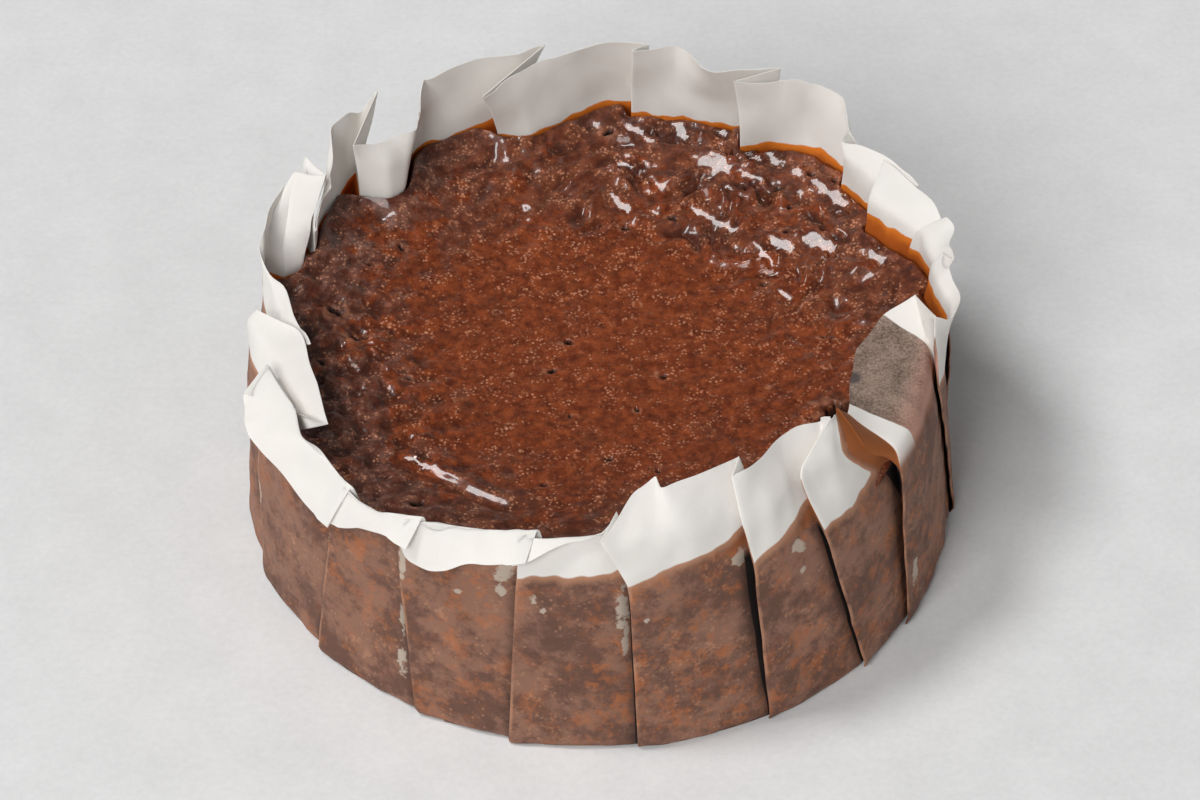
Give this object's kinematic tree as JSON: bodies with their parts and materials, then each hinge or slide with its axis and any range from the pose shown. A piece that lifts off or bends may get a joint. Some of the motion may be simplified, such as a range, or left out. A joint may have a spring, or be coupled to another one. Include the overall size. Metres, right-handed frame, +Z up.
{
  "type": "basque cheesecake",
  "caption": "Round chocolate Basque cheesecake, whole, with a sunken glossy top, standing in the pleated baking parchment it was baked in.",
  "frame": {"origin": "centre of the base, on the surface the cake stands on", "axes": "+Z up; -Y towards the pictured front; +X to the right seen from the front"},
  "size_m": [0.1537, 0.154, 0.0686],
  "materials": {
    "cake": "glossy dark brown baked top, stands for moist cake crumb",
    "parchment": "matt baking parchment, white above and stained brown by the cake below"
  },
  "bodies": {
    "root": {"cake": "cake", "parchment": "parchment"}
  },
  "joints": []
}
